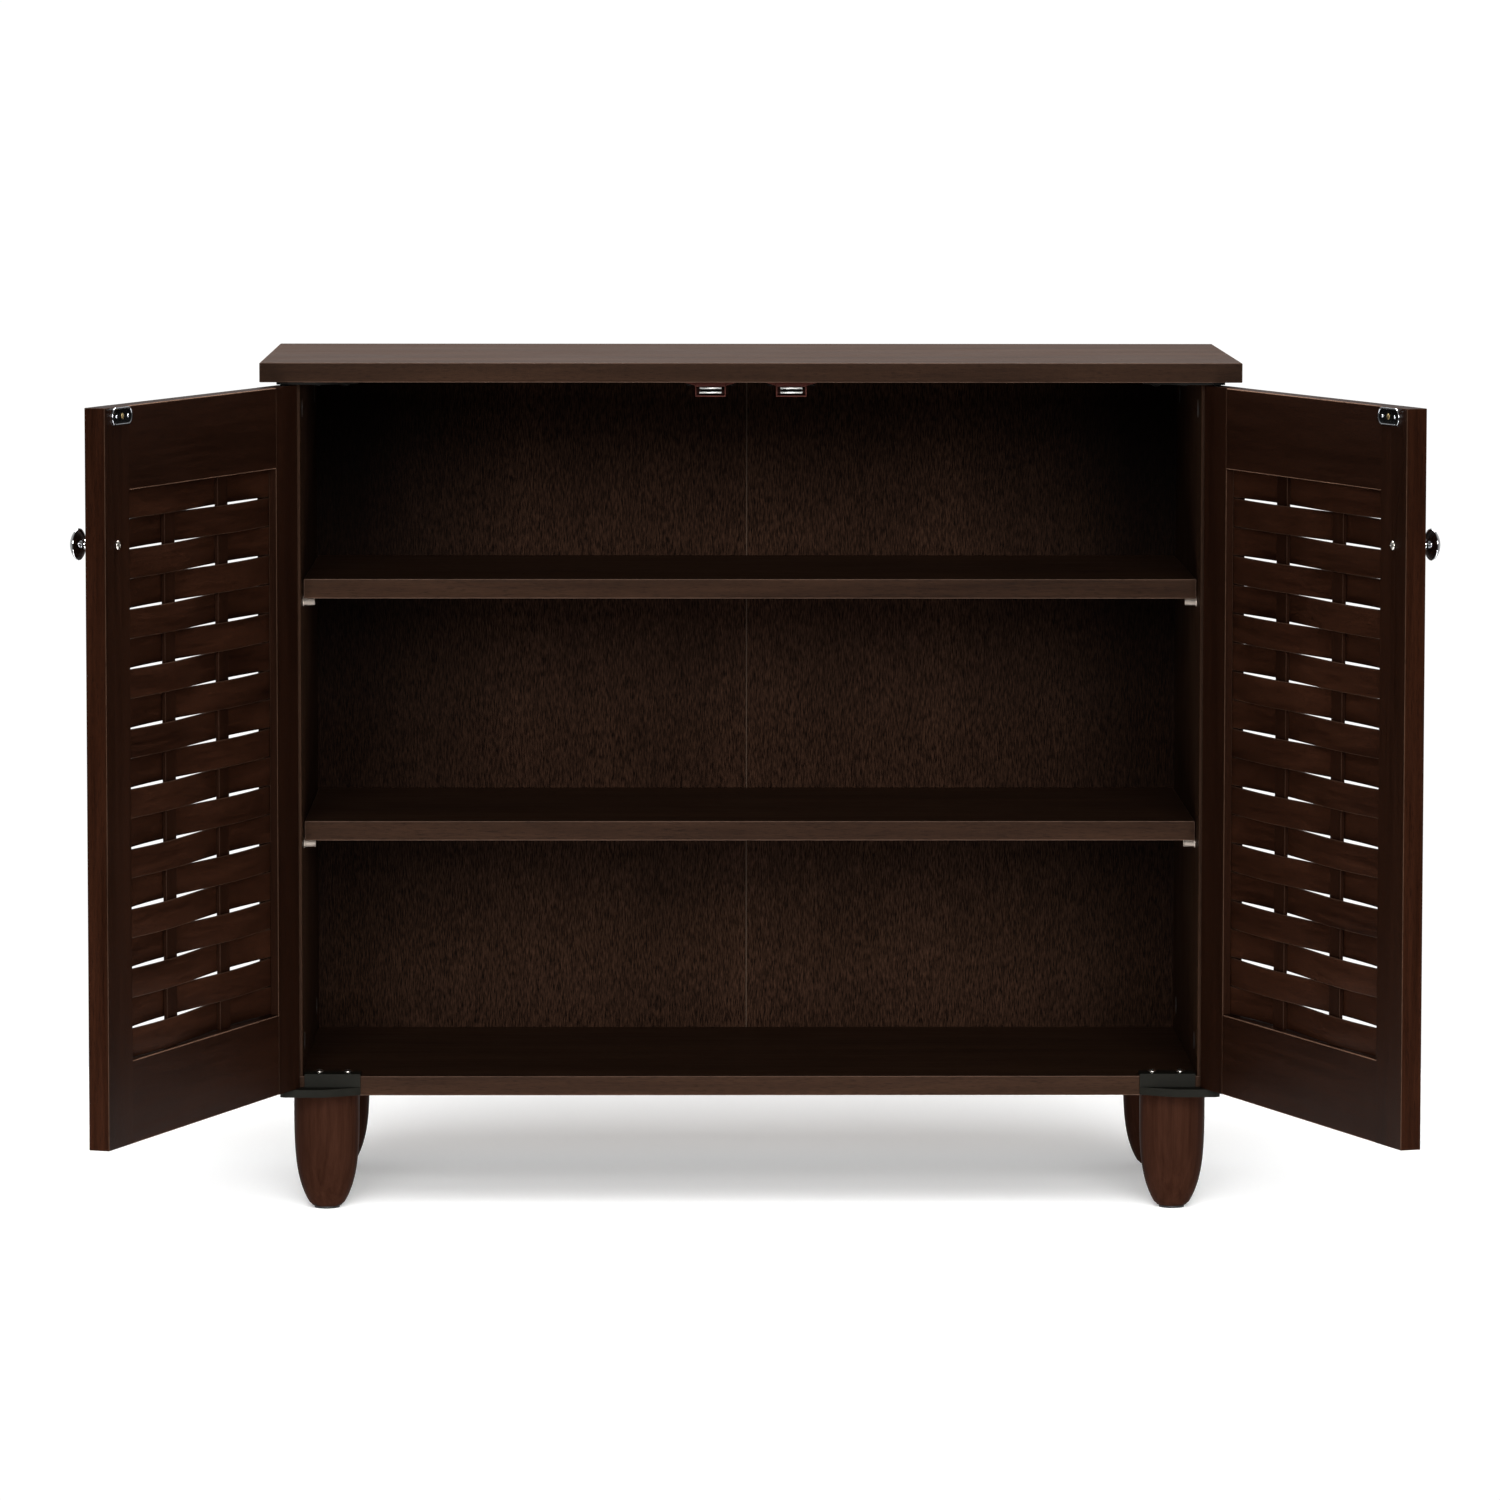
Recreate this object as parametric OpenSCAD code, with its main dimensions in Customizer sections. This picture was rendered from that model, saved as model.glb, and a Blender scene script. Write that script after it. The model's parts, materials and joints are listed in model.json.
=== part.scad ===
// Two-door shoe cabinet on turned legs, with pin-carried shelves and woven-slat doors.
// Millimetres, +Z up. The front faces -Y. The origin is on the floor, on the centre line,
// half way between the tips of the open doors and the rear edge of the top.

/* [Overall] */
// Width of the top panel
top_w = 800; // [740:10:1000]
// Depth of the top panel, front to rear
top_d = 360; // [340:5:420]
// Height from the floor to the upper face of the top
total_h = 702; // [680:1:760]
// Thickness of the top, sides, bottom and shelves
board_t = 16; // [15:1:18]

/* [Carcass] */
// How far the top stands out past each side panel
side_overhang = 16; // [8:1:30]
// How far the top stands out in front of the side panels
front_overhang = 19.5; // [19.5:0.5:24]
// How far the top stands out behind the back panel
rear_overhang = 23; // [10:1:40]
// Thickness of the back panel
back_t = 3; // [3:1:4]
// Gap between the two halves of the back panel
back_seam = 1; // [1:0.5:2]

/* [Legs] */
// Height of the wooden leg
leg_h = 96.5; // [80:0.5:130]
// Diameter of the leg at the top
leg_top_d = 54; // [44:1:60]
// Diameter of the leg at the floor
leg_foot_d = 23; // [20:1:30]
// Distance of the leg centres from the centre line
leg_x = 350; // [320:1:350]
// Distance of the leg centres from the carcass front and rear
leg_inset = 40; // [32:1:60]
// Thickness of the glide under the leg
glide_t = 2; // [1:0.5:4]

/* [Shelves] */
// Clear height between the top and the upper shelf
upper_clear = 164; // [140:1:180]
// Clear height between the two shelves
middle_clear = 184; // [160:1:200]
// How far the shelves stand back from the carcass front
shelf_setback = 32; // [20:1:60]
// Gap between a shelf end and the side panel
shelf_end_gap = 1; // [1:0.5:2]
// Radius of a shelf pin
pin_r = 3.2; // [2.5:0.1:3.5]

/* [Doors] */
// Angle at which both doors stand open, from closed
open_angle = 110; // [0:1:180]
// Thickness of the door frames
door_t = 17; // [16:0.5:17]
// How far the closed doors stand out past the side panels
door_side_reach = 4; // [0:1:8]
// Gap between the two closed doors
door_meeting_gap = 3; // [2:0.5:6]
// Height of a door
door_h = 577; // [560:1:577]
// Gap between the door and the underside of the top
door_top_gap = 3; // [3:0.5:5]
// Width of the upright door members
stile_w = 46; // [40:1:60]
// Width of the cross members of the door
rail_w = 65.5; // [50:0.5:80]
// Radius on the two arrises of the hinge edge
hinge_edge_r = 3; // [3:0.5:5]

/* [Lattice] */
// Number of woven slats in a door
slat_rows = 19; // [13:2:21]
// Thickness of a slat
slat_t = 2.5; // [2:0.5:3]
// Gap between one slat and the next
slat_gap = 1; // [0.6:0.1:2]
// Sideways swing of a slat about the middle of the door
weave_depth = 3.6; // [3.6:0.1:4.2]
// Width of the posts that the slats are woven round
post_w = 20; // [14:1:20]
// Thickness of the posts
post_t = 3; // [2:0.5:3]
// Distance of the post centres from the stiles
post_inset = 94; // [88:1:100]

/* [Hardware] */
// Diameter of the knob
knob_d = 25; // [20:1:32]
// Height of the knob above the door face
knob_h = 21.5; // [18:0.5:26]
// Distance of each magnetic catch from the centre line
catch_x = 33; // [33:1:60]
// Distance of the pivot pins from the hinge edge of the door
pivot_inset = 8; // [7:0.5:9]
// Radius of the pivot pins
pivot_r = 3; // [2.5:0.5:3.5]

/* [Hidden] */

$fn = 48;
fit = 0.05; // radial room round anything seated in a hole
eps = 0.5; // overrun of a cutting body past the face it opens

espresso = [0.16, 0.10, 0.075];
espresso_back = [0.20, 0.13, 0.085];
leg_brown = [0.27, 0.13, 0.10];
beech = [0.78, 0.62, 0.42];
zinc = [0.62, 0.63, 0.64];
nickel = [0.80, 0.78, 0.74];
chrome_bright = [0.85, 0.85, 0.87];
bracket_grey = [0.33, 0.33, 0.31];
dark_steel = [0.22, 0.23, 0.25];
brass_yellow = [0.76, 0.60, 0.30];
catch_brown = [0.30, 0.14, 0.10];
magnet_black = [0.12, 0.12, 0.12];
glide_black = [0.05, 0.05, 0.05];
seam_tan = [0.52, 0.42, 0.32];

// Carcass, measured from the front edge of the top
carcass_w = top_w - 2 * side_overhang;
inner_w = carcass_w - 2 * board_t;
base_z = leg_h + glide_t;
floor_z = base_z + board_t;
under_top_z = total_h - board_t;
side_h = under_top_z - floor_z;
carcass_y = front_overhang;
back_y = top_d - rear_overhang - back_t;
side_d = back_y - carcass_y;
back_groove = 5;
back_w = (carcass_w - back_seam) / 2;
back_top_z = under_top_z + back_groove - 0.5;

// Shelves
upper_z = under_top_z - upper_clear - board_t;
lower_z = upper_z - middle_clear - board_t;
shelf_y = carcass_y + shelf_setback;
shelf_d = back_y - shelf_y - 1;
shelf_w = inner_w - 2 * shelf_end_gap;
pin_front_y = shelf_y + 14;
pin_rear_y = back_y - 40;
pin_reach = 9.5;
pin_seat = 9;
pin_shank_r = 2.5;
pin_collar_r = 4.2;
pin_collar_t = shelf_end_gap - 0.4;
pin_axis_drop = pin_r + 0.02;

// Doors: local x runs from the hinge edge, local y from the outer face inwards
door_w = carcass_w / 2 + door_side_reach - door_meeting_gap / 2;
hinge_x = carcass_w / 2 + door_side_reach - pivot_inset;
door_mid = door_t / 2;
door_top_z = under_top_z - door_top_gap;
door_z = door_top_z - door_h;
open_w = door_w - 2 * stile_w;
open_h = door_h - 2 * rail_w;
open_z = door_z + rail_w;
slat_pitch = open_h / slat_rows;
slat_h = slat_pitch - slat_gap;
groove_d = 5;
groove_w = slat_t + 1.1;
slat_tongue = groove_d - 1;
slat_steps = 36;
post_tenon = 6;
free_arm = door_w - pivot_inset;

// The tip of the open door is the frontmost point, and the frame is centred on the whole
door_reach = free_arm * sin(open_angle) - door_mid * cos(open_angle) - door_mid;
front_y = (door_reach - top_d) / 2;

// Pivots
bush_r = pivot_r + 1.5;
bush_h = 12;
pin_in_door = 10;
plate_t = 2;
arm_h = 6.5;
arm_t = 3;
arm_z = base_z + 0.5;
arm_gap = door_z - arm_z - arm_h;
bracket_x1 = inner_w / 2 - 1.5;
bracket_x0 = bracket_x1 - 46;
bracket_leaf_d = 20;
bracket_screw_xs = [bracket_x0 + 11, bracket_x1 - 12];
bracket_screw_y = carcass_y + 10;
bracket_screw_r = 1.7;
bracket_screw_l = 12;

// Catches
catch_w = 25;
catch_h = 12.5;
catch_d = 25;
catch_ear_w = 43;
catch_ear_t = 2.5;
catch_y = carcass_y + 1;
catch_screw_dx = 17;
catch_screw_y = catch_y + 12;
catch_screw_r = 1.4;
pole_w = 18;
pole_t = 1.2;
pole_d = 17;
magnet_t = 2.4;
pole_stack = magnet_t + 2 * pole_t;
pole_z = under_top_z - 9.7;
strike_w = 38;
strike_h = 14;
strike_t = 1.4;
strike_head_h = 0.6;
strike_screw_r = 1.5;
strike_screw_l = 12;
pole_y = door_t + strike_t + strike_head_h + 0.4;
strike_u = hinge_x + pivot_inset - catch_x;
strike_z = door_top_z - strike_h / 2 - 0.5;

// Knob
knob_u = door_w - stile_w / 2;
knob_z = door_top_z - 107;
knob_screw_r = 2;
knob_bore = 9;

// Knock-down joints between the sides and the top and bottom
cam_r = 7.5;
cam_t = 12.5;
cam_edge = 24;
cam_bolt_r = 3.2;
cam_bore_r = 3.6;
cam_thread_r = 2.5;
cam_thread_l = 11;
cam_ys = [carcass_y + 42, back_y - 42];
dowel_r = 4;
dowel_l = 30;
dowel_in_panel = 11;
dowel_ys = [carcass_y + 74, back_y - 74];
rail_dowel_r = 3;
rail_dowel_l = 30;
rail_dowel_insets = [16, rail_w - 16];
insert_r = 6;
insert_h = 13;
leg_bolt_r = 4;
leg_bolt_in = 26;
glide_r = leg_foot_d / 2 - 1;
spigot_r = 3;
spigot_h = 8;
leg_ys = [carcass_y + leg_inset, back_y - leg_inset];
nail_r = 0.8;
nail_l = 14;
nail_rows = 9;

// ---------------------------------------------------------------- placing

module placed() {
    translate([0, front_y, 0]) children();
}

module both_sides() {
    children();
    mirror([1, 0, 0]) children();
}

// Carries a child from closed-door coordinates to the open left door
module left_door() {
    placed()
        translate([-hinge_x, door_mid, 0])
            rotate([0, 0, -open_angle])
                translate([-pivot_inset, -door_mid, 0])
                    children();
}

module right_door() {
    mirror([1, 0, 0]) left_door() children();
}

module box_at(low, size) {
    translate(low) cube(size);
}

// A rod along +Y from a point
module rod_y(p, r, l) {
    translate(p) rotate([-90, 0, 0]) cylinder(r = r, h = l);
}

// A rod along +X from a point
module rod_x(p, r, l) {
    translate(p) rotate([0, 90, 0]) cylinder(r = r, h = l);
}

module cross_recess(r, depth) {
    for (a = [0, 90])
        rotate([0, 0, a])
            translate([-r, -r / 5, -depth])
                cube([2 * r, 2 * r / 5, depth + eps]);
}

// Pan-head screw: the head stands on z = 0, the shank goes down
module pan_screw(head_r, head_h, shank_r, shank_l) {
    difference() {
        union() {
            rotate_extrude() intersection() {
                translate([0, head_h - head_r * 1.6]) circle(r = head_r * 1.6);
                square([head_r, head_h]);
            }
            translate([0, 0, -shank_l]) cylinder(r = shank_r, h = shank_l + head_h / 2);
        }
        translate([0, 0, head_h]) cross_recess(head_r * 0.55, head_h * 0.55);
    }
}

// ---------------------------------------------------------------- carcass

// Thread holes and dowel holes in the top (up = 1) or the bottom panel (up = -1)
module panel_end_holes(z, up) {
    dz_thread = up > 0 ? -eps : -cam_thread_l - fit;
    dz_dowel = up > 0 ? -eps : -dowel_in_panel - fit;
    both_sides() {
        for (y = cam_ys)
            translate([carcass_w / 2 - board_t / 2, y, z + dz_thread])
                cylinder(r = cam_thread_r + fit, h = cam_thread_l + fit + eps);
        for (y = dowel_ys)
            translate([carcass_w / 2 - board_t / 2, y, z + dz_dowel])
                cylinder(r = dowel_r + fit, h = dowel_in_panel + fit + eps);
    }
}

module top_panel() {
    color(espresso) placed() difference() {
        box_at([-top_w / 2, 0, under_top_z], [top_w, top_d, board_t]);
        box_at([-carcass_w / 2 - fit, back_y - 0.1, under_top_z - eps],
               [carcass_w + 2 * fit, back_t + 0.2, back_groove + eps]);
        panel_end_holes(under_top_z, 1);
        both_sides() {
            for (x = bracket_screw_xs)
                translate([x, bracket_screw_y, under_top_z - eps])
                    cylinder(r = bracket_screw_r + fit, h = 11 + eps);
            for (x = [catch_x - catch_screw_dx, catch_x + catch_screw_dx])
                translate([x, catch_screw_y, under_top_z - eps])
                    cylinder(r = catch_screw_r + fit, h = 10 + eps);
        }
    }
}

module side_panel() {
    difference() {
        box_at([inner_w / 2, carcass_y, floor_z], [board_t, side_d, side_h]);
        for (y = cam_ys, up = [0, 1]) {
            cam_z = up ? under_top_z - cam_edge : floor_z + cam_edge;
            end_z = up ? cam_z : floor_z - eps;
            rod_x([inner_w / 2 - eps, y, cam_z], cam_r + fit, cam_t + eps + fit);
            translate([carcass_w / 2 - board_t / 2, y, end_z])
                cylinder(r = cam_bore_r, h = cam_edge + eps);
        }
        for (y = dowel_ys, z = [floor_z - eps, under_top_z - dowel_l + dowel_in_panel - fit])
            translate([carcass_w / 2 - board_t / 2, y, z])
                cylinder(r = dowel_r + fit, h = dowel_l - dowel_in_panel + fit + eps);
        for (y = [pin_front_y, pin_rear_y], z = [upper_z, lower_z])
            rod_x([inner_w / 2 - eps, y, z - pin_axis_drop],
                  pin_shank_r + fit, pin_seat + eps + fit);
        for (k = [0 : nail_rows - 1])
            rod_y([carcass_w / 2 - board_t / 2, back_y - nail_l - fit, nail_z(k)],
                  nail_r + fit, nail_l + eps + fit);
    }
}

module left_side_panel() {
    color(espresso) placed() mirror([1, 0, 0]) side_panel();
}

module right_side_panel() {
    color(espresso) placed() side_panel();
}

module bottom_panel() {
    color(espresso) placed() difference() {
        box_at([-carcass_w / 2, carcass_y, base_z], [carcass_w, side_d, board_t]);
        panel_end_holes(floor_z, -1);
        both_sides() {
            for (y = leg_ys)
                translate([leg_x, y, base_z - eps])
                    cylinder(r = insert_r + fit, h = insert_h + fit + eps);
            for (x = bracket_screw_xs)
                translate([x, bracket_screw_y, floor_z - 11])
                    cylinder(r = bracket_screw_r + fit, h = 11 + eps);
        }
    }
}

function nail_z(k) = floor_z + 40 + k * (side_h - 80) / (nail_rows - 1);

// Half of the back panel; its upper edge sits in the groove of the top
module back_half() {
    difference() {
        box_at([back_seam / 2, back_y, base_z], [back_w, back_t, back_top_z - base_z]);
        for (k = [0 : nail_rows - 1])
            rod_y([carcass_w / 2 - board_t / 2, back_y - eps, nail_z(k)],
                  nail_r + fit, back_t + 2 * eps);
    }
}

module left_back_panel() {
    color(espresso_back) placed() mirror([1, 0, 0]) back_half();
}

module right_back_panel() {
    color(espresso_back) placed() back_half();
}

// Tee-shaped strip that closes the seam of the back from behind
module back_joint_strip() {
    rib_w = back_seam - 2 * fit;
    color(seam_tan) placed() union() {
        box_at([-rib_w / 2, back_y, base_z + 1], [rib_w, back_t + 0.4, under_top_z - base_z - 2]);
        box_at([-14, back_y + back_t, base_z + 1], [28, 0.8, under_top_z - base_z - 2]);
    }
}

module back_nails() {
    color(zinc) placed() both_sides() for (k = [0 : nail_rows - 1]) {
        rod_y([carcass_w / 2 - board_t / 2, back_y + back_t - nail_l, nail_z(k)],
              nail_r, nail_l + 0.3);
        rod_y([carcass_w / 2 - board_t / 2, back_y + back_t, nail_z(k)], 2, 0.6);
    }
}

// ---------------------------------------------------------------- legs

// Bullet profile: full at the top, drawn in to the foot
function leg_r(t) =
    leg_foot_d / 2 + (leg_top_d - leg_foot_d) / 2 * pow(1 - pow(1 - t, 3), 0.8);

module leg(x, y) {
    steps = 28;
    profile = concat(
        [[0, 0]],
        [for (k = [0 : steps]) let (t = pow(k / steps, 1.6)) [leg_r(t), t * leg_h]],
        [[0, leg_h]]
    );
    color(leg_brown) placed() translate([x, y, glide_t]) difference() {
        rotate_extrude($fn = 64) polygon(profile);
        translate([0, 0, leg_h - leg_bolt_in - 1])
            cylinder(r = leg_bolt_r + fit, h = leg_bolt_in + 1 + eps);
        translate([0, 0, -eps]) cylinder(r = spigot_r + fit, h = spigot_h + 0.3 + eps);
    }
}

module front_left_leg() {
    leg(-leg_x, leg_ys[0]);
}

module front_right_leg() {
    leg(leg_x, leg_ys[0]);
}

module rear_left_leg() {
    leg(-leg_x, leg_ys[1]);
}

module rear_right_leg() {
    leg(leg_x, leg_ys[1]);
}

module at_each_leg() {
    placed() both_sides() for (y = leg_ys) translate([leg_x, y, 0]) children();
}

module leg_bolts() {
    color(zinc) at_each_leg()
        translate([0, 0, base_z - leg_bolt_in])
            cylinder(r = leg_bolt_r, h = leg_bolt_in + insert_h - 1);
}

module leg_inserts() {
    color(zinc) at_each_leg() translate([0, 0, base_z + 0.05]) difference() {
        cylinder(r = insert_r, h = insert_h - 0.1);
        translate([0, 0, -eps]) cylinder(r = leg_bolt_r + fit, h = insert_h + 2 * eps);
    }
}

module leg_glides() {
    color(glide_black) at_each_leg() union() {
        cylinder(r = glide_r, h = glide_t);
        translate([0, 0, glide_t / 2]) cylinder(r = spigot_r, h = spigot_h + glide_t / 2);
    }
}

// ---------------------------------------------------------------- knock-down fittings

// Cam in its own frame: the open face is at z = 0, the bolt comes in along +X
module cam() {
    difference() {
        cylinder(r = cam_r, h = cam_t);
        rod_x([0, 0, board_t / 2], cam_bore_r, cam_r + eps);
        mirror([0, 0, 1]) cross_recess(3.4, 1.6);
    }
}

module cam_locks() {
    color(zinc) placed() both_sides() for (y = cam_ys, up = [0, 1]) {
        cam_z = up ? under_top_z - cam_edge : floor_z + cam_edge;
        translate([inner_w / 2, y, cam_z])
            rotate([up ? 180 : 0, 0, 0])
                rotate([0, 90, 0])
                    cam();
    }
}

// Threaded end in the panel, plain end in the cam
module cam_bolt(up) {
    mirror([0, 0, up ? 0 : 1]) {
        cylinder(r = cam_thread_r, h = cam_thread_l);
        translate([0, 0, -cam_edge + 1]) cylinder(r = cam_bolt_r, h = cam_edge - 1.2);
        translate([0, 0, -0.4]) cylinder(r = cam_thread_r, h = 0.6);
    }
}

module cam_bolts() {
    color(nickel) placed() both_sides() for (y = cam_ys, up = [0, 1])
        translate([carcass_w / 2 - board_t / 2, y, up ? under_top_z : floor_z]) cam_bolt(up);
}

module panel_dowels() {
    color(beech) placed() both_sides() for (y = dowel_ys) {
        translate([carcass_w / 2 - board_t / 2, y, floor_z - dowel_in_panel])
            cylinder(r = dowel_r, h = dowel_l);
        translate([carcass_w / 2 - board_t / 2, y, under_top_z - dowel_l + dowel_in_panel])
            cylinder(r = dowel_r, h = dowel_l);
    }
}

// ---------------------------------------------------------------- magnetic catches

module catch_housing() {
    ear_drop = 9;
    difference() {
        union() {
            box_at([catch_x - catch_w / 2, catch_y, under_top_z - catch_h],
                   [catch_w, catch_d, catch_h]);
            translate([catch_x, catch_y + catch_d / 2, under_top_z - catch_ear_t])
                linear_extrude(height = catch_ear_t) polygon([
                    [-catch_ear_w / 2, -ear_drop / 2], [-catch_w / 2, -ear_drop],
                    [catch_w / 2, -ear_drop], [catch_ear_w / 2, -ear_drop / 2],
                    [catch_ear_w / 2, ear_drop / 2], [catch_w / 2, ear_drop],
                    [-catch_w / 2, ear_drop], [-catch_ear_w / 2, ear_drop / 2]
                ]);
        }
        box_at([catch_x - pole_w / 2 - 0.1, catch_y - eps, pole_z - 0.1],
               [pole_w + 0.2, pole_d, pole_stack + 0.2]);
        for (x = [catch_x - catch_screw_dx, catch_x + catch_screw_dx])
            translate([x, catch_screw_y, under_top_z - catch_ear_t - eps])
                cylinder(r = catch_screw_r + fit, h = catch_ear_t + 2 * eps);
    }
}

module left_catch_housing() {
    color(catch_brown) placed() mirror([1, 0, 0]) catch_housing();
}

module right_catch_housing() {
    color(catch_brown) placed() catch_housing();
}

module catch_magnets() {
    color(magnet_black) placed() both_sides()
        box_at([catch_x - pole_w / 2 + 1, catch_y + 1.5, pole_z + pole_t + 0.02],
               [pole_w - 2, pole_d - 3, magnet_t - 0.04]);
}

module catch_pole_plates() {
    color(nickel) placed() both_sides()
        for (z = [pole_z, pole_z + pole_t + magnet_t])
            box_at([catch_x - pole_w / 2, pole_y, z], [pole_w, pole_d, pole_t]);
}

module catch_screws() {
    color(nickel) placed() both_sides()
        for (x = [catch_x - catch_screw_dx, catch_x + catch_screw_dx])
            translate([x, catch_screw_y, under_top_z - catch_ear_t])
                mirror([0, 0, 1]) pan_screw(3, 1.8, catch_screw_r, 12);
}

// ---------------------------------------------------------------- shelves

module shelf(z) {
    color(espresso) placed()
        box_at([-shelf_w / 2, shelf_y, z], [shelf_w, shelf_d, board_t]);
}

module upper_shelf() {
    shelf(upper_z);
}

module lower_shelf() {
    shelf(lower_z);
}

// Plain pin with a collar against the side panel
module shelf_pins(z) {
    color(nickel) placed() both_sides() for (y = [pin_front_y, pin_rear_y])
        translate([inner_w / 2, y, z - pin_axis_drop]) rotate([0, -90, 0]) {
            translate([0, 0, -pin_seat]) cylinder(r = pin_shank_r, h = pin_seat + 0.2);
            cylinder(r = pin_collar_r, h = pin_collar_t, $fn = 40);
            cylinder(r = pin_r, h = pin_reach, $fn = 40);
        }
}

module upper_shelf_pins() {
    shelf_pins(upper_z);
}

module lower_shelf_pins() {
    shelf_pins(lower_z);
}

// ---------------------------------------------------------------- pivot brackets

// Flat bracket under the top: an arm out to the pivot and a leaf behind the carcass front
module top_bracket() {
    difference() {
        union() {
            translate([hinge_x, door_mid, under_top_z - plate_t])
                cylinder(r = 6.5, h = plate_t);
            translate([0, 0, under_top_z - plate_t])
                linear_extrude(height = plate_t) polygon([
                    [hinge_x + 3, door_mid - 5.7], [hinge_x + 3, door_mid + 5.7],
                    [bracket_x1, carcass_y - 0.8], [bracket_x1, carcass_y + bracket_leaf_d],
                    [bracket_x0, carcass_y + bracket_leaf_d], [bracket_x0, carcass_y - 2],
                    [hinge_x - 30, door_mid - 6]
                ]);
        }
        translate([hinge_x, door_mid, under_top_z - plate_t - eps])
            cylinder(r = pivot_r + fit, h = plate_t + 2 * eps);
        for (x = bracket_screw_xs)
            translate([x, bracket_screw_y, under_top_z - plate_t - eps])
                cylinder(r = bracket_screw_r + fit, h = plate_t + 2 * eps);
    }
}

module left_top_bracket() {
    color(bracket_grey) placed() mirror([1, 0, 0]) top_bracket();
}

module right_top_bracket() {
    color(bracket_grey) placed() top_bracket();
}

// Pressed bracket: a leaf on the bottom panel, a flange over its front edge, and a lipped arm
module bottom_bracket() {
    front_edge = [
        [hinge_x, door_mid - 6], [hinge_x - 30, door_mid - 6], [bracket_x0, carcass_y - plate_t]
    ];
    lip = concat(
        front_edge,
        [for (k = [2 : -1 : 0]) [front_edge[k][0], front_edge[k][1] + (k == 2 ? 1.9 : plate_t)]]
    );
    difference() {
        union() {
            box_at([bracket_x0, carcass_y - plate_t, arm_z],
                   [bracket_x1 - bracket_x0, plate_t - 0.05, floor_z + plate_t - arm_z]);
            box_at([bracket_x0, carcass_y - plate_t, floor_z + 0.02],
                   [bracket_x1 - bracket_x0, bracket_leaf_d + plate_t, plate_t - 0.02]);
            translate([0, 0, arm_z + arm_h - arm_t])
                linear_extrude(height = arm_t) polygon(concat(front_edge, [
                    [bracket_x0, carcass_y - 0.05], [hinge_x, carcass_y - 0.05],
                    [hinge_x + 5, door_mid + 3.3]
                ]));
            translate([0, 0, arm_z]) linear_extrude(height = arm_h) polygon(lip);
            translate([hinge_x, door_mid, arm_z]) cylinder(r = 6, h = arm_h);
        }
        translate([hinge_x, door_mid, arm_z - eps])
            cylinder(r = pivot_r + fit, h = arm_h + 2 * eps);
        for (x = bracket_screw_xs)
            translate([x, bracket_screw_y, floor_z - eps])
                cylinder(r = bracket_screw_r + fit, h = plate_t + 2 * eps);
    }
}

module left_bottom_bracket() {
    color(bracket_grey) placed() mirror([1, 0, 0]) bottom_bracket();
}

module right_bottom_bracket() {
    color(bracket_grey) placed() bottom_bracket();
}

// Pins riveted into the brackets; the doors turn on their free ends
module pivot_pins() {
    color(nickel) placed() both_sides() {
        translate([hinge_x, door_mid, arm_z])
            cylinder(r = pivot_r, h = arm_h + arm_gap + pin_in_door);
        translate([hinge_x, door_mid, door_top_z - pin_in_door])
            cylinder(r = pivot_r, h = pin_in_door + door_top_gap - 0.1);
    }
}

module bracket_screw() {
    pan_screw(4, 2.4, bracket_screw_r, bracket_screw_l);
}

module bracket_screws() {
    color(nickel) placed() both_sides() for (x = bracket_screw_xs) {
        translate([x, bracket_screw_y, floor_z + plate_t]) bracket_screw();
        translate([x, bracket_screw_y, under_top_z - plate_t]) mirror([0, 0, 1]) bracket_screw();
    }
}

// ---------------------------------------------------------------- doors, in door coordinates

module rail_dowel_bores(u, l) {
    for (z = rail_dowel_zs()) rod_x([u, door_mid, z], rail_dowel_r + fit, l);
}

function rail_dowel_zs() = concat(
    [for (d = rail_dowel_insets) door_z + d],
    [for (d = rail_dowel_insets) door_top_z - d]
);

// Plan outline of the hinge stile, with its two rounded arrises on the hinge edge
module hinge_stile_outline() {
    r = hinge_edge_r;
    union() {
        translate([r, 0]) square([stile_w - r, door_t]);
        translate([0, r]) square([r + 1, door_t - 2 * r]);
        translate([r, r]) circle(r = r);
        translate([r, door_t - r]) circle(r = r);
    }
}

module hinge_stile() {
    color(espresso) difference() {
        translate([0, 0, door_z]) linear_extrude(height = door_h) hinge_stile_outline();
        box_at([stile_w - groove_d, door_mid - groove_w / 2, open_z],
               [groove_d + eps, groove_w, open_h]);
        rail_dowel_bores(stile_w - rail_dowel_l / 2 - fit, rail_dowel_l);
        translate([pivot_inset, door_mid, door_z - eps])
            cylinder(r = bush_r + fit, h = bush_h + eps);
        translate([pivot_inset, door_mid, door_top_z - bush_h])
            cylinder(r = bush_r + fit, h = bush_h + eps);
    }
}

module free_stile() {
    color(espresso) difference() {
        box_at([door_w - stile_w, 0, door_z], [stile_w, door_t, door_h]);
        box_at([door_w - stile_w - eps, door_mid - groove_w / 2, open_z],
               [groove_d + eps, groove_w, open_h]);
        rail_dowel_bores(door_w - stile_w - rail_dowel_l / 2, rail_dowel_l + fit);
        rod_y([knob_u, -eps, knob_z], knob_screw_r + fit, door_t + 2 * eps);
        rod_y([strike_u, door_t - strike_screw_l, strike_z],
              strike_screw_r + fit, strike_screw_l + eps);
    }
}

module rail(z, post_edge_z) {
    color(espresso) difference() {
        box_at([stile_w, 0, z], [open_w, door_t, rail_w]);
        for (u = [stile_w, door_w - stile_w])
            rail_dowel_bores(u - rail_dowel_l / 2 - fit, rail_dowel_l + 2 * fit);
        for (u = post_us())
            box_at([u - post_w / 2 - fit, door_mid - post_t / 2 - fit, post_edge_z],
                   [post_w + 2 * fit, post_t + 2 * fit, post_tenon + eps]);
    }
}

function post_us() = [stile_w + post_inset, door_w - stile_w - post_inset];

module top_rail() {
    rail(door_top_z - rail_w, door_top_z - rail_w - eps);
}

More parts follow.
